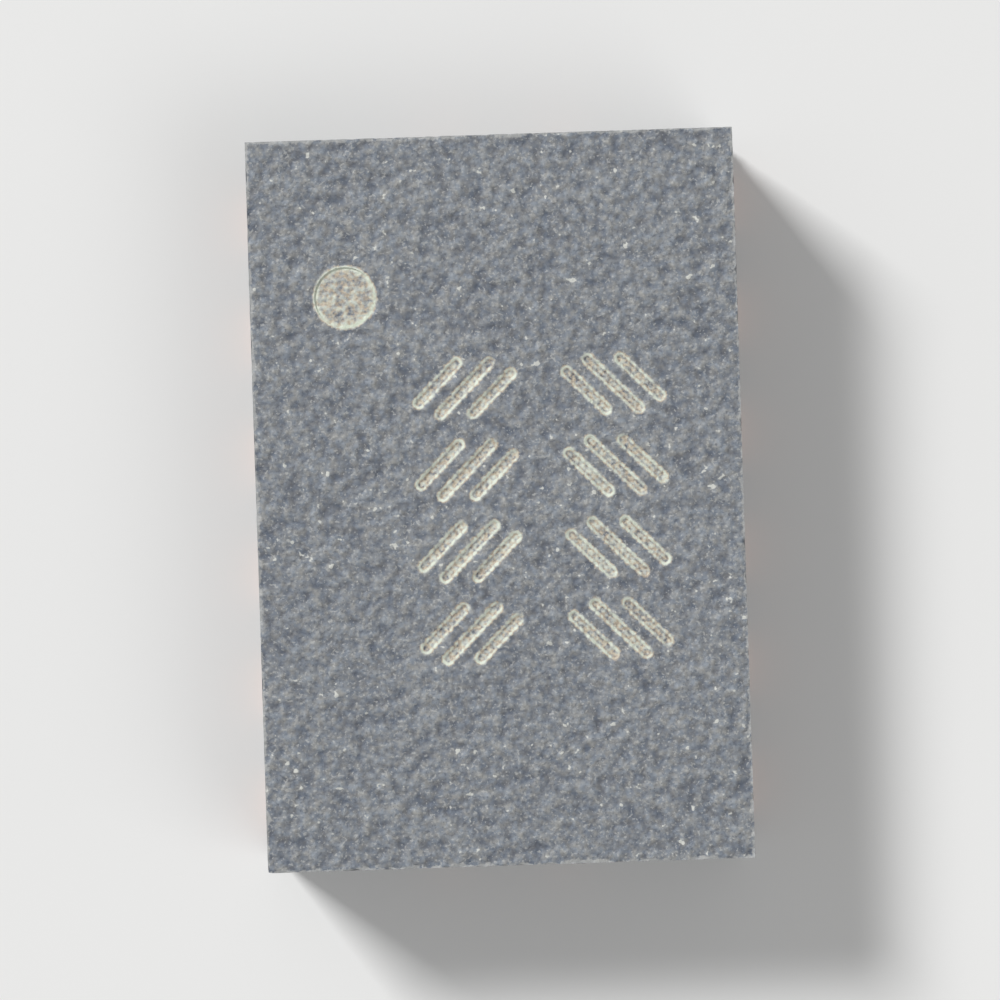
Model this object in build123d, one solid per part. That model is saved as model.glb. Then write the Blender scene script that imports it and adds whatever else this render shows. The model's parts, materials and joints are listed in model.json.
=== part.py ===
"""A leadless integrated circuit package, 2 mm by 3 mm, with two rows of lands and a thermal pad.

A copper lead frame, half etched from below, carries a silicon die on a bond line of silver epoxy.
A gold wire runs from each bond pad of the die to the lead beside it: a squashed ball on the pad,
a loop, and a crescent stitch on the lead. Black epoxy moulding compound is cast round all of it,
so the moulding holds the exact hollow of every piece, and saws have cut it square to its four sides.

Origin: the middle of the package on the seating plane. +Z is up, +Y runs along the rows of leads
towards the index mark, and pin 1 is at -X, +Y. Lengths are in millimetres, angles in degrees.
"""

from build123d import *
import math
import os

# The package as moulded and sawn
body_width = 2.00
row_end_margin = 0.25  # from the middle of the last lead to the sawn end
standoff = 0.02  # the lands stand this far below the moulding's underside
mould_cover = 0.192  # moulding over the highest wire

# The index mark that a laser cuts beside pin 1
mark_diameter = 0.25
mark_depth = 0.008
mark_from_side = 0.39
mark_from_end = 0.65

# The lead frame's sheet
frame_thickness = 0.20
etch_depth = 0.10

# Leads
leads_per_row = 6
lead_pitch = 0.50
lead_width = 0.25
land_length = 0.30
lead_lip = 0.07  # the half-etched tip reaches this far past the land
tip_flat = 0.05  # between the tip's two rounded corners

# Die paddle, whose underside is the thermal pad
land_to_pad = 0.25
pad_from_end = 0.40
pad_lip = 0.05
pad_corner_radius = 0.05
index_chamfer = 0.20
tie_bar_width = 0.16
tie_bar_spacing = 0.50

# Die and the epoxy under it
die_side_margin = 0.10  # from the die to the paddle's edge
die_end_margin = 0.20
die_thickness = 0.20
bond_line = 0.02
epoxy_spread = 0.03
epoxy_climb = 0.05
epoxy_edge = 0.004

# Bond pads, each in a window of the die's passivation
bond_pad_size = 0.070
bond_pad_inset = 0.060  # from the die's side to the middle of the pad
bond_pad_end_inset = 0.100
window_depth = 0.002

# Bond wires, with flats round them and short runs along their bends, which keeps their facets few
wire_diameter = 0.020
wire_flats = 8
bend_runs = 4
ball_diameter = 0.050
ball_foot_diameter = 0.040
ball_waist = 0.006
ball_height = 0.014
loop_height = 0.130  # from the bond pad to the wire's centre
knee_share = 0.35  # how far along the span the loop turns down
knee_drop = 0.010
neck_bend = 0.035
knee_bend = 0.120
stitch_from_tip = 0.150
stitch_length = 0.050
stitch_width = 0.044
stitch_heel = 0.016
stitch_toe = 0.004

row_length = (leads_per_row - 1) * lead_pitch
body_length = row_length + 2 * row_end_margin
lead_length = land_length + lead_lip
tip_radius = (lead_width - tip_flat) / 2
pad_width = body_width - 2 * (land_length + land_to_pad)
pad_length = body_length - 2 * pad_from_end
die_width = pad_width + 2 * (pad_lip - die_side_margin)
die_length = pad_length + 2 * (pad_lip - die_end_margin)
bond_pad_pitch = (die_length - 2 * bond_pad_end_inset) / (leads_per_row - 1)

shelf_thickness = frame_thickness - etch_depth
die_underside = frame_thickness + bond_line
die_top = die_underside + die_thickness
bond_pad_top = die_top - window_depth
body_height = bond_pad_top + loop_height + wire_diameter / 2 + mould_cover

on_floor = (Align.CENTER, Align.CENTER, Align.MIN)


def lead_places():
    """The side (-1 or 1) and Y of each lead, by pin number, anticlockwise from pin 1 seen from above."""
    ys = [row_length / 2 - step * lead_pitch for step in range(leads_per_row)]
    return [(-1, y) for y in ys] + [(1, y) for y in reversed(ys)]


def bond_pad_places():
    """The middle of each bond pad, in the order of the leads."""
    x = die_width / 2 - bond_pad_inset
    return [(side * x, y * bond_pad_pitch / lead_pitch) for side, y in lead_places()]


def lead():
    """One lead of the +X row, at Y 0: a full-thickness land, and a half-etched tip inside the moulding."""

    def outline(length):
        bar = Pos(body_width / 2, 0) * Rectangle(length, lead_width, align=(Align.MAX, Align.CENTER))
        return fillet(bar.vertices().group_by(Axis.X)[0], tip_radius)

    land = extrude(outline(land_length), etch_depth)
    shelf = extrude(Pos(0, 0, etch_depth) * outline(lead_length), shelf_thickness)
    return land + shelf


def die_paddle():
    """The die paddle: a thermal pad, a half-etched lip all round it, and the sawn tie bars at its ends."""
    plate = Rectangle(pad_width, pad_length)
    index_corner = plate.vertices().group_by(Axis.Y)[-1].sort_by(Axis.X)[0]
    plate = chamfer(index_corner, index_chamfer)
    plate = fillet(plate.vertices(), pad_corner_radius)
    pad = extrude(plate, etch_depth)
    shelf = extrude(Pos(0, 0, etch_depth) * offset(plate, pad_lip), shelf_thickness)
    bars = [
        Pos(x, end * (body_length - pad_from_end) / 2, etch_depth)
        * Box(tie_bar_width, pad_from_end, shelf_thickness, align=on_floor)
        for x in (-tie_bar_spacing / 2, tie_bar_spacing / 2)
        for end in (-1, 1)
    ]
    return pad + shelf + bars


def die_block():
    """The die before its windows are opened."""
    return Pos(0, 0, die_underside) * Box(die_width, die_length, die_thickness, align=on_floor)


def silicon_die():
    """The die, with a window in its passivation over each bond pad."""
    windows = [
        Pos(x, y, die_top) * Box(bond_pad_size, bond_pad_size, 2 * window_depth)
        for x, y in bond_pad_places()
    ]
    return die_block() - windows


def die_attach():
    """The silver epoxy under the die, squeezed out into a fillet that climbs the die's sides."""

    def outline(margin, z):
        return Pos(0, 0, z) * Rectangle(die_width + 2 * margin, die_length + 2 * margin)

    bead = loft([outline(epoxy_spread, frame_thickness), outline(epoxy_edge, die_underside + epoxy_climb)])
    return bead - die_block()


def wire_section(diameter, z):
    """The section of a wire, or of its ball, level at that height."""
    return Pos(0, 0, z) * RegularPolygon(diameter / 2, wire_flats)


def ball_bond():
    """The squashed ball at a wire's start, its flat foot on Z 0."""
    foot = wire_section(ball_foot_diameter, 0)
    waist = wire_section(ball_diameter, ball_waist)
    neck = wire_section(wire_diameter, ball_height)
    return loft([foot, waist, neck], ruled=True)


def stitch_bond(span, lead_z):
    """The crescent at a wire's end: a fan, seen from above, that thins from its heel to its toe."""
    heel = span - stitch_length
    toe = span + stitch_width / 4
    fan = Polyline(
        (heel, wire_diameter / 2),
        (span, stitch_width / 2),
        (toe, stitch_width / 4),
        (toe, -stitch_width / 4),
        (span, -stitch_width / 2),
        (heel, -wire_diameter / 2),
        close=True,
    )
    wedge = Polyline(
        (heel, lead_z),
        (toe, lead_z),
        (toe, lead_z + stitch_toe),
        (heel, lead_z + stitch_heel),
        close=True,
    )
    blank = extrude(Pos(0, 0, lead_z) * make_face(fan), stitch_heel)
    return blank & extrude(Plane.XZ * make_face(wedge), stitch_width, both=True)


def short_runs(route):
    """The route's points, with a few along each bend."""
    points = [route @ 0]
    for edge in route.edges():
        runs = 1 if edge.geom_type == GeomType.LINE else bend_runs
        points += [edge @ (run / runs) for run in range(1, runs + 1)]
    return points


def bond_wire(start, end):
    """One wire, from a bond pad at start to a lead at end, both points in plan."""
    run_x, run_y = end[0] - start[0], end[1] - start[1]
    span = math.hypot(run_x, run_y)
    lead_z = frame_thickness - bond_pad_top
    route = FilletPolyline(
        (0, 0, ball_height),
        (0, 0, loop_height),
        (knee_share * span, 0, loop_height - knee_drop),
        (span - stitch_length, 0, lead_z),
        radius=[neck_bend, knee_bend],
    )
    loop = sweep(
        wire_section(wire_diameter, ball_height),
        path=Polyline(*short_runs(route)),
        transition=Transition.RIGHT,
    )
    below_lead_top = Pos(span, 0, lead_z) * Box(
        2 * span, body_width, frame_thickness, align=(Align.CENTER, Align.CENTER, Align.MAX)
    )
    wire = loop + ball_bond() + stitch_bond(span, lead_z) - below_lead_top
    heading = math.degrees(math.atan2(run_y, run_x))
    return Location((start[0], start[1], bond_pad_top), (0, 0, heading)) * wire


def index_mark():
    """The shallow round recess beside pin 1."""
    x = -body_width / 2 + mark_from_side
    y = body_length / 2 - mark_from_end
    return Pos(x, y, body_height) * Cylinder(mark_diameter / 2, 2 * mark_depth)


def mould_body(inner_pieces):
    """The moulding: the sawn block less every piece that it is cast round, and less the index mark."""
    block = Pos(0, 0, standoff) * Box(body_width, body_length, body_height - standoff, align=on_floor)
    return block - inner_pieces - index_mark()


right_lead = lead()
pieces = {
    "die_paddle": die_paddle(),
    "die_attach": die_attach(),
    "silicon_die": silicon_die(),
}
for pin, ((side, y), bond_pad) in enumerate(zip(lead_places(), bond_pad_places()), start=1):
    turn = 0 if side > 0 else 180
    pieces[f"lead_{pin:02d}"] = Location((0, y, 0), (0, 0, turn)) * right_lead
    stitch_place = (side * (body_width / 2 - lead_length + stitch_from_tip), y)
    pieces[f"bond_wire_{pin:02d}"] = bond_wire(bond_pad, stitch_place)
pieces["mould_body"] = mould_body(list(pieces.values()))

os.makedirs("parts", exist_ok=True)
for name, piece in pieces.items():
    export_step(piece, f"parts/{name}.step")
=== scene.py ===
"""The looks of a leadless integrated circuit package.

The moulding gets a fine skin over its packed form: a spark-eroded grain on top, laser marks cut into it,
saw marks on the four sides and small chips along the sawn edges. The leads and the die paddle get one too,
with rounded tin underneath. Lengths are in millimetres where a name or a comment doesn't say otherwise,
and they are turned into metres where Blender takes them.
"""

import json
import math
import random
from collections import namedtuple

import bmesh
import bpy
import numpy as np
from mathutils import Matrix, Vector, kdtree, noise
from mathutils.geometry import delaunay_2d_cdt


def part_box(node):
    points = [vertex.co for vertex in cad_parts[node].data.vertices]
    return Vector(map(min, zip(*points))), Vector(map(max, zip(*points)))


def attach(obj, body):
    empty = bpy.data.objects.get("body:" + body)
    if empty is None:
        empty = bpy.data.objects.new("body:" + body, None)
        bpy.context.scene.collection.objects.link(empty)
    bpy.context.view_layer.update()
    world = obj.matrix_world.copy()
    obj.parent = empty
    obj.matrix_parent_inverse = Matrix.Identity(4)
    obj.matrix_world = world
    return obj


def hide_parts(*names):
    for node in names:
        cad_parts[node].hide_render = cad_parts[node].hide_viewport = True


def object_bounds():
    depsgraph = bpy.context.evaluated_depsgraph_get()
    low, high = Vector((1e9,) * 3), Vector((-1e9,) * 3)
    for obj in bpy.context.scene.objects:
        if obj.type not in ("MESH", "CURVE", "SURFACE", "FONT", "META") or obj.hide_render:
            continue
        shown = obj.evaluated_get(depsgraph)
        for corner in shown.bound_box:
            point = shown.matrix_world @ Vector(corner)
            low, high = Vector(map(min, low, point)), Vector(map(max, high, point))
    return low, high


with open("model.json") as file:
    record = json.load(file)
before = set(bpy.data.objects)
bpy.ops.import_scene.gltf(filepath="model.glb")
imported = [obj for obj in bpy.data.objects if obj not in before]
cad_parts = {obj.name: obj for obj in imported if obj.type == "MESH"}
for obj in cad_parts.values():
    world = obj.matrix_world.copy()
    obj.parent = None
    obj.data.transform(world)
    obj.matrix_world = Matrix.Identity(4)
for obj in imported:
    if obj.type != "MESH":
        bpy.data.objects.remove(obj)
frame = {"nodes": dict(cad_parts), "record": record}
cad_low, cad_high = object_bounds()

METRES = 0.001  # in a millimetre
X, Y, Z = range(3)
TOUCH = 1e-5  # points nearer than this are one point
SAME_SIDE = 1e-4  # metal that ends nearer than this to the package's side is sawn there
WHOLE_HULL = 0  # the triangulation's output that leaves nothing out
package_low, package_high = cad_low / METRES, cad_high / METRES

# How far apart the skin's points lie
TOP_SPACING = 0.0112
RECESS_SPACING = 0.0080
SIDE_SPACING = 0.0195
UNDERSIDE_SPACING = 0.0270
STROKE_SPACING = 0.0095
SHAKE = 0.18  # of the spacing
SHAKE_SEED = 4
CLEARANCE = 0.62  # of the spacing
SHARPEST_GRAIN = math.radians(50)  # where faces meet more sharply, an edge shows

# The relief of the skin: grain on top, waves underneath, saw lines on the sides, chips along the sawn edges
GRAIN_SIZE = 0.042
GRAIN_HEIGHT = 0.0070
UNDERSIDE_SIZE = 0.090
UNDERSIDE_HEIGHT = 0.0012
SAW_LINE = 0.040
SAW_LENGTH = 0.900
SAW_HEIGHT = 0.0018
SAW_ROUGHNESS = 0.035  # the size of the bumps between the lines
CHIP_SIZE = 0.045
CHIP_DEPTH = 0.012
WEAR_AND_HIGHLIGHT_WIDTH = 0.025  # how far in the pale patches along the edges reach, which are partly wear and partly a painted highlight
SEED_STEP = (17.3, -9.1, 5.7)  # in grains, from one seed's noise to the next's

# The leads and the paddle: tin under them, and the same saw lines on their ends
TIN_SPACING = 0.0200
SAWN_METAL_SPACING = 0.0140
TIN_SIZE = 0.050
TIN_HEIGHT = 0.0020
PLATING_RADIUS = 0.0050
METAL_CHIP_DEPTH = 0.0030
SAWN_DEPTH = 0.0080  # what the saw has cut lies no deeper than this
TIN_THICKNESS = 0.0100

# The silver on the frame, and the windows in the die's passivation
LAYER = 0.0005
WINDOW_REACH = 0.0025  # from the die's top to below the windows' floors

# The index mark's recess, and how far from its rim the laser's heat shows
RECESS_REACH = 0.05  # deeper than its floor, and shallower than all else under the top
RIM_BURN = 0.008  # pale, outside it
RIM_MELT = 0.014  # smooth, outside it
RIM_GLOW = 0.013  # pale, inside it
RIM_FLAT = 0.010  # smooth, inside it
RIM_PATCHES = 0.045
RECESS_BLOTS = 0.019

# The two rows of hatched cells that the laser cuts
ROWS = ((-0.13, 1), (0.48, -1))  # each row's X, and the way its strokes lean
ROW_MIDDLE = -0.04  # along Y
CELLS = 4
CELL_PITCH = 0.335
CELL_HALF = (0.190, 0.103)  # half its size along X and along Y
STROKES_EACH_WAY = 1  # from the middle one
STROKE_STEP = 0.135
STROKE_RADIUS = 0.0275
STROKE_PATCHES = 0.055
BED_BLOTS = 0.014
PULSE = 0.031  # from one laser pulse to the next
PULSE_WANDER = 0.060  # how soon the pulses drift out of step

# A groove's section, in shares of the stroke's radius, and its heights
RAIL = 0.72  # where its two burnt edges lie
RAIL_WIDTH = 0.30
BED_WIDTH = 0.75  # of the burnt floor between them
RIDGE = 1.0  # where the melted epoxy is heaped up
GROOVE_WIDTH = 0.60
MELT_WIDTH = 1.1  # of the zone where the grain has melted away
STROKE_RINGS = (0, 0.40, RAIL, 1.05, 1.35)  # where the skin gets rings of points
GROOVE_DEPTH = 0.013
RIDGE_HEIGHT = 0.0012

# The floor, and the surround's strength as a light and as it is seen, where 1 is white
FLOOR_HALF = 60
FLOOR_GAP = 0.001  # keeps the floor and the lands out of one plane
SURROUND_LIGHT = 0.28
SURROUND_SEEN = 0.82

# The photograph's view
PHOTO_TURN = math.radians(1.85)
FRAME_HEIGHT = 4.1
LENS = 150
SENSOR = 36
SEEN_FROM, SEEN_TO = 1, 500  # how near and how far the camera sees


def linear(red, green, blue):
    """A screen colour, from 0 to 255, as the linear colour that shaders take."""
    shares = (value / 255 for value in (red, green, blue))
    return tuple(s / 12.92 if s <= 0.04045 else ((s + 0.055) / 1.055) ** 2.4 for s in shares) + (1,)


# The skins

# A flat side of a node: its axis, the way it faces along it, its place on it, how far apart its points
# lie, the number of its finish, and the function that gives its relief and how burnt it is
Flat = namedtuple("Flat", "axis way place spacing finish relief")

# The numbers of the moulding's finishes, and of a metal piece's only one
TOP, SAWN, UNDERSIDE, HOLLOW = range(4)
METAL = 0


def packed(node):
    """A welded copy of a node's mesh, in millimetres."""
    mesh = bmesh.new()
    mesh.from_mesh(frame["nodes"][node].data)
    bmesh.ops.scale(mesh, vec=(1 / METRES,) * 3, verts=mesh.verts)
    bmesh.ops.remove_doubles(mesh, verts=mesh.verts, dist=TOUCH)
    return mesh


def faces_on(mesh, flat):
    """The faces of a mesh that lie in that flat."""
    return [f for f in mesh.faces if all(abs(v.co[flat.axis] - flat.place) < TOUCH for v in f.verts)]


def rim(faces):
    """The edges round a set of faces."""
    inside = set(faces)
    edges = dict.fromkeys(e for f in faces for e in f.edges)
    return [e for e in edges if len(inside.intersection(e.link_faces)) == 1]


def divide_rims(mesh, flats):
    """Cuts the edges round each flat into short runs, and leaves the faces as they are."""
    runs = {}
    for flat in flats:
        for edge in rim(faces_on(mesh, flat)):
            cuts = max(0, round(edge.calc_length() / flat.spacing) - 1)
            runs[edge] = max(cuts, runs.get(edge, 0))
    for cuts in sorted(set(runs.values()) - {0}):
        bmesh.ops.bisect_edges(mesh, edges=[e for e, n in runs.items() if n == cuts], cuts=cuts)


def in_plane(flat, point):
    """The two coordinates of a point along a flat."""
    return point[(flat.axis + 1) % 3], point[(flat.axis + 2) % 3]


def out_of_plane(flat, pair):
    """The point of a flat that has those two coordinates."""
    point = Vector((0, 0, 0))
    point[flat.axis] = flat.place
    point[(flat.axis + 1) % 3], point[(flat.axis + 2) % 3] = pair
    return point


def within(pairs, outline):
    """Which points of a plane lie inside an outline of line segments, whose holes count as outside."""
    pairs = np.array(pairs)
    odd = np.zeros(len(pairs), bool)
    for (u1, v1), (u2, v2) in outline:
        if v1 != v2:
            spans = (pairs[:, 1] < v1) != (pairs[:, 1] < v2)
            odd ^= spans & (pairs[:, 0] < u1 + (pairs[:, 1] - v1) * (u2 - u1) / (v2 - v1))
    return odd


def filling(taken, outline, spacing, draw):
    """Points in staggered rows, shaken a little, where the outline is filled and nothing taken is near."""
    tree = kdtree.KDTree(len(taken))
    for i, (u, v) in enumerate(taken):
        tree.insert((u, v, 0), i)
    tree.balance()
    low = [min(pair[i] for pair in taken) for i in (0, 1)]
    high = [max(pair[i] for pair in taken) for i in (0, 1)]
    row_step = spacing * math.sqrt(3) / 2
    points = []
    for row in range(int((high[1] - low[1]) / row_step) + 1):
        for column in range(int((high[0] - low[0]) / spacing) + 1):
            u = low[0] + (column + row % 2 / 2 + draw.uniform(-SHAKE, SHAKE)) * spacing
            v = low[1] + (row + draw.uniform(-SHAKE, SHAKE)) * row_step
            if tree.find((u, v, 0))[2] > CLEARANCE * spacing:
                points.append((u, v))
    return [pair for pair, kept in zip(points, within(points, outline)) if kept]


def stadium(start, end, distance, spacing):
    """Points all round a stroke's middle line, at that distance from it."""
    along = (end - start).normalized()
    across = Vector((-along.y, along.x))
    steps = max(1, round((end - start).length / spacing))
    middle = [start.lerp(end, i / steps) for i in range(steps + 1)]
    if distance == 0:
        return middle
    points = [p + side * distance * across for side in (-1, 1) for p in middle]
    turns = max(2, round(math.pi * distance / spacing))
    for i in range(1, turns):
        angle = math.pi * i / turns
        points.append(end + distance * (math.cos(angle) * across + math.sin(angle) * along))
        points.append(start + distance * (math.cos(angle) * across - math.sin(angle) * along))
    return points


def strokes():
    """The start and end of each laser stroke in plan: slanted strokes, cut off at their cell's sides."""
    half_x, half_y = CELL_HALF
    found = []
    for row_x, lean in ROWS:
        for cell in range(CELLS):
            middle = Vector((row_x, ROW_MIDDLE + (cell - (CELLS - 1) / 2) * CELL_PITCH))
            for k in range(-STROKES_EACH_WAY, STROKES_EACH_WAY + 1):
                shift = k * STROKE_STEP
                first = max(-half_y, -half_x - shift)
                last = min(half_y, half_x - shift)
                found.append([middle + Vector((shift + t, lean * t)) for t in (first, last)])
    return found


def nearest_stroke(places, marks):
    """How far each plan point is from the nearest stroke's middle line, and how far along that line."""
    across = np.full(len(places), np.inf)
    along = np.zeros(len(places))
    for start, end in marks:
        start, run = np.array(start), np.array(end - start)
        share = np.clip((places - start) @ run / (run @ run), 0, 1)
        distance = np.linalg.norm(places - start - share[:, None] * run, axis=1)
        nearer = distance < across
        across[nearer] = distance[nearer]
        along[nearer] = share[nearer] * np.linalg.norm(run)
    return across, along


def speckle(places, size, seed):
    """Soft noise at each place, from about -1 to 1. Size is its grain, one number or one for each axis."""
    offset = np.array(SEED_STEP) * seed
    return np.array([noise.noise(p) for p in (places / size + offset).tolist()])


def pebbles(places, size):
    """Rounded tops packed side by side, from about -1 in the gaps between them to 1 on the tops."""
    return np.array([1 - 3.2 * noise.voronoi(p)[0][0] ** 2 for p in (places / size).tolist()])


def bell(distance, width):
    """1 where the distance is nought, falling off softly over that width."""
    return np.exp(-((distance / width) ** 2))


class Recess:
    """The index mark's recess, read from the moulding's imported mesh."""

    def __init__(self, mesh, top):
        points = [v.co for v in mesh.verts if TOUCH < top - v.co.z < RECESS_REACH]
        self.floor = min(p.z for p in points)
        low = [min(p[i] for p in points) for i in (0, 1)]
        high = [max(p[i] for p in points) for i in (0, 1)]
        self.middle = (Vector(low) + Vector(high)) / 2
        self.radius = (high[0] - low[0]) / 2

    def holds(self, point):
        """Whether a point is on the recess's floor, wall or rim."""
        return point.z > self.floor - TOUCH and (point.xy - self.middle).length < self.radius + TOUCH

    def round_off(self, mesh):
        """Moves the points along the rim, top and bottom, out to the true circle."""
        for vertex in mesh.verts:
            if self.holds(vertex.co):
                spoke = vertex.co.xy - self.middle
                vertex.co.xy = self.middle + spoke.normalized() * self.radius

    def to_rim(self, places):
        """How far each place is from the rim in plan, less than nought inside it."""
        return np.linalg.norm(places[:, :2] - np.array(self.middle), axis=1) - self.radius


def fine_skin(mesh, flats, held_finish, top_points=()):
    """The mesh's points and faces with each flat divided finely, the first flat with those plan points too.
    Returns them with each face's finish, the points of each flat, and the points that must stay in place
    because a face with the held finish has them."""
    mesh.verts.index_update()
    points = [v.co.copy() for v in mesh.verts]
    skin = {flat: faces_on(mesh, flat) for flat in flats}
    in_skin = {f for flat_faces in skin.values() for f in flat_faces}
    faces, finishes, fixed, lies_in = [], [], set(), {flat: [] for flat in flats}
    for face in mesh.faces:
        if face not in in_skin:
            faces.append([v.index for v in face.verts])
            finishes.append(face.material_index)
            fixed.update(faces[-1] if face.material_index == held_finish else [])
    draw = random.Random(SHAKE_SEED)
    for flat, flat_faces in skin.items():
        edges = [[v.index for v in e.verts] for e in rim(flat_faces)]
        outline = [[in_plane(flat, points[i]) for i in edge] for edge in edges]
        rim_points = sorted({i for edge in edges for i in edge})
        taken = [in_plane(flat, points[i]) for i in rim_points]
        if flat is flats[0]:
            taken += top_points
        taken += filling(taken, outline, flat.spacing, draw)
        place_in_rim = {i: place for place, i in enumerate(rim_points)}
        rim_edges = [(place_in_rim[a], place_in_rim[b]) for a, b in edges]
        pairs, _, triangles, sources, _, _ = delaunay_2d_cdt(
            [Vector(pair) for pair in taken], rim_edges, [], WHOLE_HULL, TOUCH
        )
        index = lies_in[flat]
        for pair, source in zip(pairs, sources):
            if source and source[0] < len(rim_points):
                index.append(rim_points[source[0]])
            else:
                index.append(len(points))
                points.append(out_of_plane(flat, pair))
        middles = [(pairs[a] + pairs[b] + pairs[c]) / 3 for a, b, c in triangles]
        for triangle, kept in zip(triangles, within(middles, outline)):
            if kept:
                faces.append([index[i] for i in (triangle if flat.way > 0 else triangle[::-1])])
                finishes.append(flat.finish)
    return points, faces, finishes, lies_in, fixed


def grain(places):
    """The height of the eroded grain at each place, in shares of its full height."""
    swell = 0.3 * speckle(places, 4 * GRAIN_SIZE, seed=1)
    bumps = speckle(places, GRAIN_SIZE, seed=2) + 0.4 * speckle(places, GRAIN_SIZE / 2, seed=12)
    return swell + bumps + 0.4 * pebbles(places, 1.3 * GRAIN_SIZE)


def top_relief(places, marks, recess):
    """Grain, with the laser's grooves and their burnt edges in it. Returns the height and the burning."""
    across, along = nearest_stroke(places[:, :2], marks)
    across /= STROKE_RADIUS
    to_rim = recess.to_rim(places)
    drift = 3 * speckle(places, PULSE_WANDER, seed=3)
    pulse = 0.5 + 0.5 * np.cos(2 * math.pi * along / PULSE + drift)
    rails = bell(across - RAIL, RAIL_WIDTH) * (0.55 + 0.45 * pulse)
    blots = (1 + speckle(places, BED_BLOTS, seed=4)) / 2
    bed = bell(across, BED_WIDTH) * (0.40 + 0.36 * (1 - pulse) * blots)
    uneven = 1.03 + 0.40 * speckle(places, STROKE_PATCHES, seed=13)
    burning = np.maximum(np.maximum(rails, bed) * uneven, 0.8 * bell(to_rim, RIM_BURN))
    unmelted = (1 - 0.75 * bell(across, MELT_WIDTH)) * (1 - 0.9 * bell(to_rim, RIM_MELT))
    height = GRAIN_HEIGHT * grain(places) * unmelted
    height += RIDGE_HEIGHT * bell(across - RIDGE, RAIL_WIDTH) * (0.8 + 0.2 * pulse)
    height -= GROOVE_DEPTH * bell(across, GROOVE_WIDTH) * (0.85 + 0.15 * pulse)
    return height, burning


def recess_relief(places, recess):
    """The index mark's floor, melted into blots, with a brighter burnt rim."""
    to_rim = recess.to_rim(places)
    blots = speckle(places, RECESS_BLOTS, seed=5)
    glow = bell(to_rim, RIM_GLOW) * (0.9 + 0.7 * speckle(places, RIM_PATCHES, seed=14))
    burning = np.clip(0.42 + 0.34 * blots + 0.48 * glow, 0, 1)
    unmelted = 1 - bell(to_rim, RIM_FLAT)
    return GRAIN_HEIGHT * (0.3 * grain(places) + 0.4 * blots) * unmelted, burning


def sawn_relief(places):
    """Long level scratches, and the fine roughness between them."""
    lines = speckle(places, [SAW_LENGTH, SAW_LENGTH, SAW_LINE], seed=6)
    return SAW_HEIGHT * (lines + 0.5 * speckle(places, SAW_ROUGHNESS, seed=7)), 0


def underside_relief(places):
    """The faint waves of the film that it was moulded against."""
    return UNDERSIDE_HEIGHT * speckle(places, UNDERSIDE_SIZE, seed=8), 0


def tin_relief(places):
    """Matt tin, faintly domed between its crystals and never proud of the flat."""
    return -TIN_HEIGHT * (1 + speckle(places, TIN_SIZE, seed=11)) / 2, 0


def carve(points, lies_in, fixed, chip_depth):
    """Gives the skin its relief. Returns the points, how high each stands out of its flat, and how burnt it
    is."""
    places = np.array(points)
    moved = places.copy()
    height = np.zeros(len(places))
    burning = np.zeros(len(places))
    flats_of = {}
    for flat, its_points in lies_in.items():
        height[its_points], burnt = flat.relief(places[its_points])
        burning[its_points] = np.maximum(burning[its_points], burnt)
        for i in its_points:
            flats_of.setdefault(i, []).append(flat)
    edge = [i for i, its_flats in flats_of.items() if len(its_flats) > 1 and i not in fixed]
    chips = np.clip(speckle(places[edge], CHIP_SIZE, seed=9) - 0.05, 0, 1) ** 1.5
    nicks = 0.06 * (1 + speckle(places[edge], CHIP_SIZE / 2, seed=10))
    height[edge] = -chip_depth * (chips + nicks)
    height[list(fixed)] = 0
    for i, its_flats in flats_of.items():
        for flat in its_flats:
            moved[i, flat.axis] += flat.way * height[i]
    return moved, height, burning


def moulding():
    """The moulding under its fine skin, with the hollow of every inner piece as it is packed."""
    low, high = (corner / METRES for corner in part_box("mould_body"))
    mesh = packed("mould_body")
    recess = Recess(mesh, high.z)
    marks = strokes()
    flats = [
        Flat(Z, 1, high.z, TOP_SPACING, TOP, lambda places: top_relief(places, marks, recess)),
        Flat(Z, 1, recess.floor, RECESS_SPACING, TOP, lambda places: recess_relief(places, recess)),
        Flat(X, -1, low.x, SIDE_SPACING, SAWN, sawn_relief),
        Flat(X, 1, high.x, SIDE_SPACING, SAWN, sawn_relief),
        Flat(Y, -1, low.y, SIDE_SPACING, SAWN, sawn_relief),
        Flat(Y, 1, high.y, SIDE_SPACING, SAWN, sawn_relief),
        Flat(Z, -1, low.z, UNDERSIDE_SPACING, UNDERSIDE, underside_relief),
    ]
    for face in mesh.faces:
        face.material_index = TOP if all(recess.holds(v.co) for v in face.verts) else HOLLOW
    ring_points = [
        tuple(point)
        for start, end in marks
        for share in STROKE_RINGS
        for point in stadium(start, end, share * STROKE_RADIUS, STROKE_SPACING)
    ]
    divide_rims(mesh, flats)
    recess.round_off(mesh)
    skinned(
        mesh,
        flats,
        name="moulding",
        node="mould_body",
        held_finish=HOLLOW,
        chip_depth=CHIP_DEPTH,
        top_points=ring_points,
        materials=[top_finish(), sawn_finish(), underside_finish(), hollow_finish()],
    )


def skinned(mesh, flats, name, node, held_finish, chip_depth, materials, top_points=()):
    """Adds the piece that stands for a node: its mesh, with a fine skin in relief on those flats."""
    points, faces, finishes, lies_in, fixed = fine_skin(mesh, flats, held_finish, top_points)
    mesh.free()
    points, height, burning = carve(points, lies_in, fixed, chip_depth)
    data = bpy.data.meshes.new(name)
    data.from_pydata((points * METRES).tolist(), [], faces)
    data.polygons.foreach_set("material_index", finishes)
    data.polygons.foreach_set("use_smooth", [True] * len(faces))
    data.set_sharp_from_angle(angle=SHARPEST_GRAIN)
    for attribute, values in (("height", height / GRAIN_HEIGHT), ("burning", burning)):
        data.attributes.new(attribute, "FLOAT", "POINT").data.foreach_set("value", values)
    data.update()
    for material in materials:
        data.materials.append(material)
    piece = bpy.data.objects.new(name, data)
    bpy.context.scene.collection.objects.link(piece)
    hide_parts(node)
    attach(piece, "root")


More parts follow.
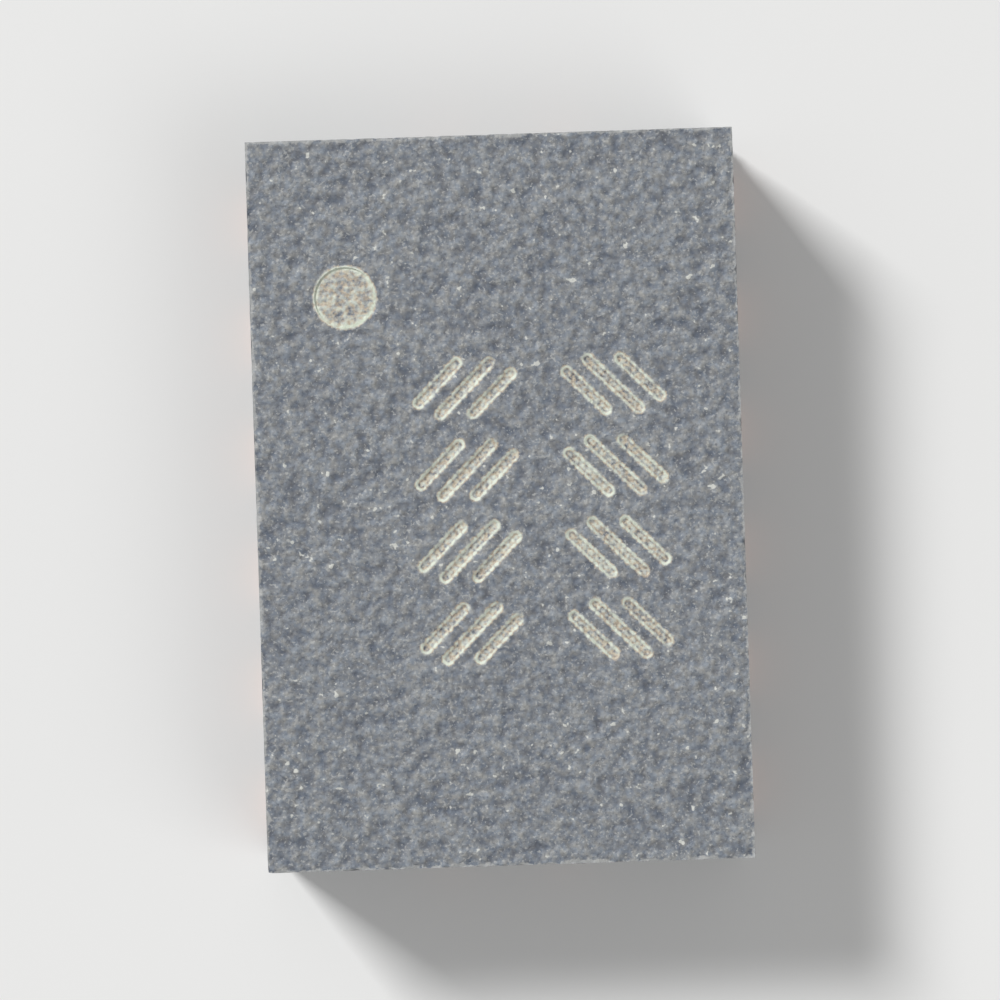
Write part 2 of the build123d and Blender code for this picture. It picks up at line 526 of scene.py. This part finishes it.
def plated_metal(node, finish):
    """A lead or the paddle: tin on its underside, whose edges the plating rounds, and sawn where it meets
    the package's sides."""
    low, high = (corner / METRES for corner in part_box(node))
    mesh = packed(node)
    flats = [Flat(Z, -1, low.z, TIN_SPACING, METAL, tin_relief)]
    for axis in (X, Y):
        for way, corner, package_corner in ((-1, low, package_low), (1, high, package_high)):
            if abs(corner[axis] - package_corner[axis]) < SAME_SIDE:
                flats.append(Flat(axis, way, corner[axis], SAWN_METAL_SPACING, METAL, sawn_relief))
    sawn = {f for flat in flats[1:] for f in faces_on(mesh, flat)}
    plated_edges = [e for e in rim(faces_on(mesh, flats[0])) if not sawn.intersection(e.link_faces)]
    bmesh.ops.bevel(
        mesh, geom=plated_edges, affect="EDGES", offset=PLATING_RADIUS, segments=3, profile=0.5
    )
    divide_rims(mesh, flats)
    skinned(
        mesh,
        flats,
        name=node + "_plated",
        node=node,
        held_finish=METAL,
        chip_depth=METAL_CHIP_DEPTH,
        materials=[finish],
    )


# Materials


class Shader:
    """A node material in the making. Its textures read the object's own coordinates, in millimetres."""

    def __init__(self, name):
        self.material = bpy.data.materials.new(name)
        self.material.use_nodes = True
        self.tree = self.material.node_tree
        self.surface = self.tree.nodes["Principled BSDF"]
        metres = self.add("ShaderNodeTexCoord").outputs["Object"]
        scale = (1 / METRES,) * 3
        self.place = self.add("ShaderNodeVectorMath", metres, scale, operation="MULTIPLY").outputs[0]

    def add(self, kind, *inputs, operation=None, **named):
        """A new node. Inputs are values or other nodes' outputs, in order, or by name."""
        node = self.tree.nodes.new(kind)
        if operation:
            node.operation = operation
        for key, value in (*enumerate(inputs), *named.items()):
            self.feed(node.inputs[key], value)
        return node

    def feed(self, socket, value):
        """Links an output to a socket, or gives the socket a value."""
        if isinstance(value, bpy.types.NodeSocket):
            self.tree.links.new(value, socket)
        else:
            socket.default_value = value

    def math(self, operation, *inputs):
        """The outcome of a sum on values or other nodes' outputs."""
        return self.add("ShaderNodeMath", *inputs, operation=operation).outputs[0]

    def stretched(self, x, y, z):
        """The place, with each axis in its own grain sizes."""
        return self.add("ShaderNodeVectorMath", self.place, (x, y, z), operation="DIVIDE").outputs[0]

    def axis(self, number):
        """One coordinate of the place."""
        return self.add("ShaderNodeSeparateXYZ", self.place).outputs[number]

    def attribute(self, name):
        """A number that the mesh holds at each point."""
        node = self.add("ShaderNodeAttribute")
        node.attribute_name = name
        return node.outputs["Fac"]

    def noise(self, size, detail=2, rough=0.5, place=None):
        """Soft noise from 0 to 1, with grains of that size."""
        sockets = {"Vector": place or self.place, "Scale": 1 / size, "Detail": detail, "Roughness": rough}
        return self.add("ShaderNodeTexNoise", **sockets).outputs[0]

    def cells(self, size, metric="EUCLIDEAN"):
        """Cells of that size: the distance from the middle of each, and a number of its own from 0 to 1."""
        node = self.add("ShaderNodeTexVoronoi", Vector=self.place, Scale=1 / size)
        node.distance = metric
        own = self.add("ShaderNodeSeparateColor", node.outputs["Color"]).outputs[0]
        return node.outputs["Distance"], own

    def spots(self, size, share):
        """Round spots, 1 inside and 0 outside, in that share of the cells of that size."""
        distance, own = self.cells(size)
        radius = self.ramp(own, 0, share, 0.18, 0.44)
        disc = self.ramp(self.math("SUBTRACT", distance, radius), 0, 0.06, 1, 0)
        return self.math("MULTIPLY", disc, self.math("LESS_THAN", own, share))

    def ramp(self, value, low, high, to_low=0, to_high=1):
        """The value's range from low to high, turned into another and held at its ends."""
        return self.add("ShaderNodeMapRange", value, low, high, to_low, to_high).outputs[0]

    def mix(self, share, first, second):
        """The first colour where the share is 0, and the second where it is 1."""
        node = self.add("ShaderNodeMix", share)
        node.data_type = "RGBA"
        self.feed(node.inputs[6], first)
        self.feed(node.inputs[7], second)
        return node.outputs[2]

    def bump(self, height, micrometres):
        """Tilts the surface by a height from 0 to 1, which is that many micrometres deep."""
        node = self.add("ShaderNodeBump", Height=height, Distance=micrometres * 1e-6)
        self.feed(self.surface.inputs["Normal"], node.outputs["Normal"])

    def finish(self, **sockets):
        """Feeds the surface's sockets, whose names have _ for spaces, and returns the material."""
        for name, value in sockets.items():
            self.feed(self.surface.inputs[name.replace("_", " ")], value)
        return self.material


def top_finish():
    """Spark-eroded epoxy, with painted shade in the hollows of its grain, painted light on its tops and
    painted glints, burnt pale where the laser has been.
    """
    shader = Shader("eroded_epoxy")
    grains = shader.ramp(shader.cells(0.022)[0], 0, 0.8, 0.28, 0)
    fine = shader.math("ADD", shader.noise(0.038, detail=6, rough=0.68), grains)
    height = shader.math("ADD", shader.attribute("height"), shader.ramp(fine, 0.37, 0.91, -1.2, 1.2))
    tint = shader.noise(0.030, detail=2)
    # Painted shade in the hollows of the grain and painted light on its tops: the colour darkens and pales
    # with the height
    painted_relief_shading = shader.ramp(height, -1.4, 1.4)
    cool = shader.mix(painted_relief_shading, linear(87, 96, 110), linear(149, 156, 164))
    warm = shader.mix(painted_relief_shading, linear(94, 97, 103), linear(159, 159, 156))
    base = shader.mix(shader.ramp(tint, 0.35, 0.65), cool, warm)
    grit = shader.noise(0.012, detail=1)
    base = shader.mix(shader.ramp(grit, 0.62, 0.68, 0, 0.50), base, linear(188, 189, 186))
    base = shader.mix(shader.ramp(grit, 0.38, 0.32, 0, 0.50), base, linear(78, 84, 96))
    # Painted glints: small pale flecks of painted highlight scattered over the grain
    painted_glints = shader.ramp(shader.noise(0.038, detail=2), 0.695, 0.725, 0, 0.85)
    base = shader.mix(painted_glints, base, linear(214, 215, 208))
    # Pale patches along the sawn edges: partly wear, partly a painted highlight along the edges
    base = shader.mix(edge_wear_and_highlight(shader), base, linear(182, 183, 181))
    speckles = shader.ramp(shader.noise(0.014, detail=2), 0.3, 0.7, -0.16, 0.16)
    speckled = shader.math("ADD", shader.attribute("burning"), speckles)
    char_tint = shader.ramp(shader.noise(0.019, detail=1), 0.42, 0.58)
    char = shader.mix(char_tint, linear(191, 176, 155), linear(178, 181, 177))
    burnt = shader.mix(shader.ramp(speckled, 0.42, 0.80), char, linear(220, 227, 212))
    base = shader.mix(shader.ramp(speckled, 0.18, 0.45), base, burnt)
    shader.bump(fine, 9)
    return shader.finish(Base_Color=base, Roughness=0.44, Specular_IOR_Level=0.5)


def edge_wear_and_highlight(shader):
    """How pale the sawn edges round the top are, from 0 to 1, in ragged patches: partly wear, partly a
    painted highlight along the edges.
    """
    from_side, from_end = (
        shader.math("SUBTRACT", package_high[axis], shader.math("ABSOLUTE", shader.axis(axis)))
        for axis in (X, Y)
    )
    inward = shader.math("MINIMUM", from_side, from_end)
    ragged = shader.ramp(shader.noise(0.060, detail=3, rough=0.7), 0.35, 0.75, 0, WEAR_AND_HIGHLIGHT_WIDTH)
    return shader.ramp(shader.math("SUBTRACT", inward, ragged), -0.004, 0.002, 0.6, 0)


def filled_epoxy(shader, dark, pale):
    """Cut epoxy: a dark resin with the round sections of glass filler in it, of several sizes."""
    base = shader.mix(shader.noise(0.090, detail=4, rough=0.65), dark, pale)
    for size, share, strength, colour in (
        (0.056, 0.25, 0.38, linear(128, 131, 134)),
        (0.031, 0.45, 0.34, linear(122, 125, 129)),
        (0.017, 0.55, 0.24, linear(138, 140, 142)),
        (0.043, 0.15, 0.55, linear(56, 58, 61)),
    ):
        base = shader.mix(shader.math("MULTIPLY", shader.spots(size, share), strength), base, colour)
    return base


def sawn_finish():
    """Sawn epoxy: filler cut flush, under faint level streaks left by the blade."""
    shader = Shader("sawn_epoxy")
    base = filled_epoxy(shader, linear(76, 79, 84), linear(98, 101, 106))
    streaks = shader.noise(1, detail=5, rough=0.65, place=shader.stretched(0.5, 0.5, 0.012))
    base = shader.mix(shader.ramp(streaks, 0.50, 0.75, 0, 0.35), base, linear(136, 138, 141))
    base = shader.mix(shader.ramp(streaks, 0.50, 0.28, 0, 0.25), base, linear(56, 58, 62))
    shader.bump(shader.math("ADD", streaks, shader.noise(0.018)), 1.5)
    return shader.finish(Base_Color=base, Roughness=0.58, Specular_IOR_Level=0.4)


def underside_finish():
    """Epoxy moulded against film: even, dark and satin."""
    shader = Shader("moulded_epoxy")
    mottle = shader.noise(0.070, detail=4, rough=0.6)
    base = shader.mix(shader.ramp(mottle, 0.3, 0.7), linear(66, 69, 73), linear(90, 93, 97))
    base = shader.mix(shader.math("MULTIPLY", shader.spots(0.030, 0.25), 0.3), base, linear(116, 118, 121))
    shader.bump(shader.noise(0.022, detail=2), 1.0)
    return shader.finish(Base_Color=base, Roughness=0.50, Specular_IOR_Level=0.4)


def hollow_finish():
    """Epoxy that has set against the frame, the die and the wires."""
    shader = Shader("inner_epoxy")
    base = shader.mix(shader.noise(0.050, detail=3), linear(58, 60, 63), linear(82, 84, 87))
    return shader.finish(Base_Color=base, Roughness=0.6)


def frame_finish():
    """The lead frame: tin under the lands and the pad, bare copper where the saw went, silver where the
    wires are stitched, and dull copper elsewhere."""
    shader = Shader("lead_frame")
    x, y, z = (shader.axis(axis) for axis in (X, Y, Z))
    at_side = shader.math("GREATER_THAN", shader.math("ABSOLUTE", x), package_high.x - SAWN_DEPTH)
    at_end = shader.math("GREATER_THAN", shader.math("ABSOLUTE", y), package_high.y - SAWN_DEPTH)
    sawn = shader.math("MAXIMUM", at_side, at_end)
    ragged = shader.math("ADD", z, shader.ramp(shader.noise(0.03), 0, 1, -0.003, 0.003))
    tinned = shader.math("LESS_THAN", ragged, TIN_THICKNESS)
    plated = shader.math("GREATER_THAN", z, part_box("lead_01")[1].z / METRES - LAYER)

    crystals = shader.noise(0.018, detail=5, rough=0.75)
    streaks = shader.noise(1, detail=5, rough=0.65, place=shader.stretched(0.3, 0.3, 0.008))
    stain = shader.noise(0.10, detail=4)
    cloud = shader.ramp(shader.noise(0.22, detail=5, rough=0.6), 0.35, 0.65)
    tin = shader.mix(shader.ramp(crystals, 0.3, 0.7), linear(150, 151, 150), linear(224, 224, 221))
    tin = shader.mix(shader.math("MULTIPLY", cloud, 0.5), tin, linear(180, 177, 168))
    copper = shader.mix(shader.ramp(streaks, 0.3, 0.7), linear(152, 109, 92), linear(184, 142, 122))
    copper = shader.mix(shader.ramp(stain, 0.42, 0.66, 0, 0.65), copper, linear(120, 90, 79))
    dull = shader.mix(stain, linear(128, 80, 58), linear(166, 110, 84))
    silver = shader.mix(crystals, linear(205, 203, 196), linear(232, 230, 224))
    base = shader.mix(plated, dull, silver)
    base = shader.mix(sawn, base, copper)
    base = shader.mix(tinned, base, tin)
    shader.bump(shader.math("ADD", crystals, shader.math("MULTIPLY", streaks, sawn)), 2.0)
    dulling = shader.math("MULTIPLY", cloud, 0.08)
    rough = shader.math("ADD", shader.ramp(crystals, 0.3, 0.7, 0.34, 0.48), dulling)
    return shader.finish(Base_Color=base, Metallic=1.0, Roughness=rough)


def die_finish():
    """Silicon: clear layers over blocks of circuit on top, aluminium in the windows, ground sides."""
    shader = Shader("silicon")
    z = shader.axis(Z)
    die_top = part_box("silicon_die")[1].z / METRES
    upper = shader.math("GREATER_THAN", z, die_top - LAYER)
    window = shader.math("GREATER_THAN", z, die_top - WINDOW_REACH)
    block_tone = shader.cells(0.11, "CHEBYCHEV")[1]
    lines = shader.add("ShaderNodeTexWave", Vector=shader.place, Scale=60).outputs["Fac"]
    circuit = shader.mix(block_tone, linear(58, 74, 96), linear(122, 116, 98))
    circuit = shader.mix(shader.math("MULTIPLY", lines, 0.25), circuit, linear(150, 150, 140))
    ground = shader.mix(shader.noise(0.03, detail=4), linear(86, 88, 92), linear(120, 122, 126))
    base = shader.mix(window, ground, linear(214, 214, 212))
    base = shader.mix(upper, base, circuit)
    return shader.finish(Base_Color=base, Metallic=shader.ramp(window, 0, 1, 0.3, 0.8), Roughness=0.25)


def silver_epoxy_finish():
    """Cured epoxy full of silver flakes."""
    shader = Shader("silver_epoxy")
    flakes = shader.noise(0.010, detail=4, rough=0.7)
    base = shader.mix(shader.ramp(flakes, 0.35, 0.65), linear(140, 139, 134), linear(204, 203, 198))
    shader.bump(flakes, 2.0)
    return shader.finish(Base_Color=base, Metallic=0.6, Roughness=0.45)


def gold_finish():
    """Drawn gold, faintly streaked."""
    shader = Shader("drawn_gold")
    tone = shader.noise(0.010, detail=2)
    base = shader.mix(tone, linear(228, 172, 82), linear(255, 208, 120))
    return shader.finish(Base_Color=base, Metallic=1.0, Roughness=0.22)


def dress():
    """Gives the moulding and the metal their skins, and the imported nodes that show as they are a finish."""
    moulding()
    metal = frame_finish()
    finishes = {
        "silicon": die_finish(),
        "silver_epoxy": silver_epoxy_finish(),
        "gold_wire": gold_finish(),
    }
    for part in frame["record"]["subparts"]:
        node, slot = part["node"], part["material_slot"]
        if slot == "lead_frame":
            plated_metal(node, metal)
        elif slot in finishes:
            for material_slot in frame["nodes"][node].material_slots:
                material_slot.material = finishes[slot]


# Stage


def light(name, place, size, watts):
    """A soft square lamp at a place in millimetres that points at the package."""
    lamp = bpy.data.lights.new(name, "AREA")
    lamp.size = size * METRES
    lamp.energy = watts
    holder = bpy.data.objects.new(name, lamp)
    holder.location = Vector(place) * METRES
    holder.rotation_euler = (-Vector(place)).to_track_quat("-Z", "Y").to_euler()
    bpy.context.scene.collection.objects.link(holder)


def stage():
    """A pale floor, soft lamps from the upper left and the lower right, and an even pale surround."""
    half = FLOOR_HALF * METRES
    data = bpy.data.meshes.new("floor")
    corners = [(-half, -half), (half, -half), (half, half), (-half, half)]
    data.from_pydata([(x, y, -FLOOR_GAP * METRES) for x, y in corners], [], [(0, 1, 2, 3)])
    shader = Shader("floor_paint")
    tone = shader.noise(6, detail=1)
    base = shader.mix(tone, linear(236, 236, 235), linear(240, 240, 239))
    data.materials.append(shader.finish(Base_Color=base, Specular_IOR_Level=0))
    floor = bpy.data.objects.new("floor", data)
    bpy.context.scene.collection.objects.link(floor)

    light("key", place=(-335, 335, 375), size=150, watts=3.12)
    light("fill", place=(240, -180, 400), size=320, watts=0.50)
    surround()


def surround():
    """An even surround that lights the package softly, and that looks as pale as the floor where it is seen
    straight, in gloss or through something clear."""
    world = bpy.data.worlds.new("surround")
    world.use_nodes = True
    tree = world.node_tree
    path = tree.nodes.new("ShaderNodeLightPath")
    seen = path.outputs["Is Camera Ray"]
    for ray in ("Is Glossy Ray", "Is Transmission Ray"):
        either = tree.nodes.new("ShaderNodeMath")
        either.operation = "MAXIMUM"
        tree.links.new(seen, either.inputs[0])
        tree.links.new(path.outputs[ray], either.inputs[1])
        seen = either.outputs[0]
    strength = tree.nodes.new("ShaderNodeMapRange")
    strength.inputs["To Min"].default_value = SURROUND_LIGHT
    strength.inputs["To Max"].default_value = SURROUND_SEEN
    tree.links.new(seen, strength.inputs["Value"])
    background = tree.nodes["Background"]
    background.inputs["Color"].default_value = (1, 1, 1, 1)
    tree.links.new(strength.outputs[0], background.inputs["Strength"])
    bpy.context.scene.world = world


def camera():
    """Straight above the package, turned as the photograph is."""
    lens = bpy.data.cameras.new("camera")
    lens.lens = LENS
    lens.sensor_width = SENSOR
    holder = bpy.data.objects.new("camera", lens)
    distance = FRAME_HEIGHT / 2 / (SENSOR / 2 / LENS)
    holder.location = (0, 0, cad_high.z + distance * METRES)
    holder.rotation_euler = (0, 0, -PHOTO_TURN)
    lens.clip_start = SEEN_FROM * METRES
    lens.clip_end = SEEN_TO * METRES
    bpy.context.scene.collection.objects.link(holder)
    bpy.context.scene.camera = holder


dress()
stage()
camera()
bpy.context.scene.view_settings.view_transform = "Standard"
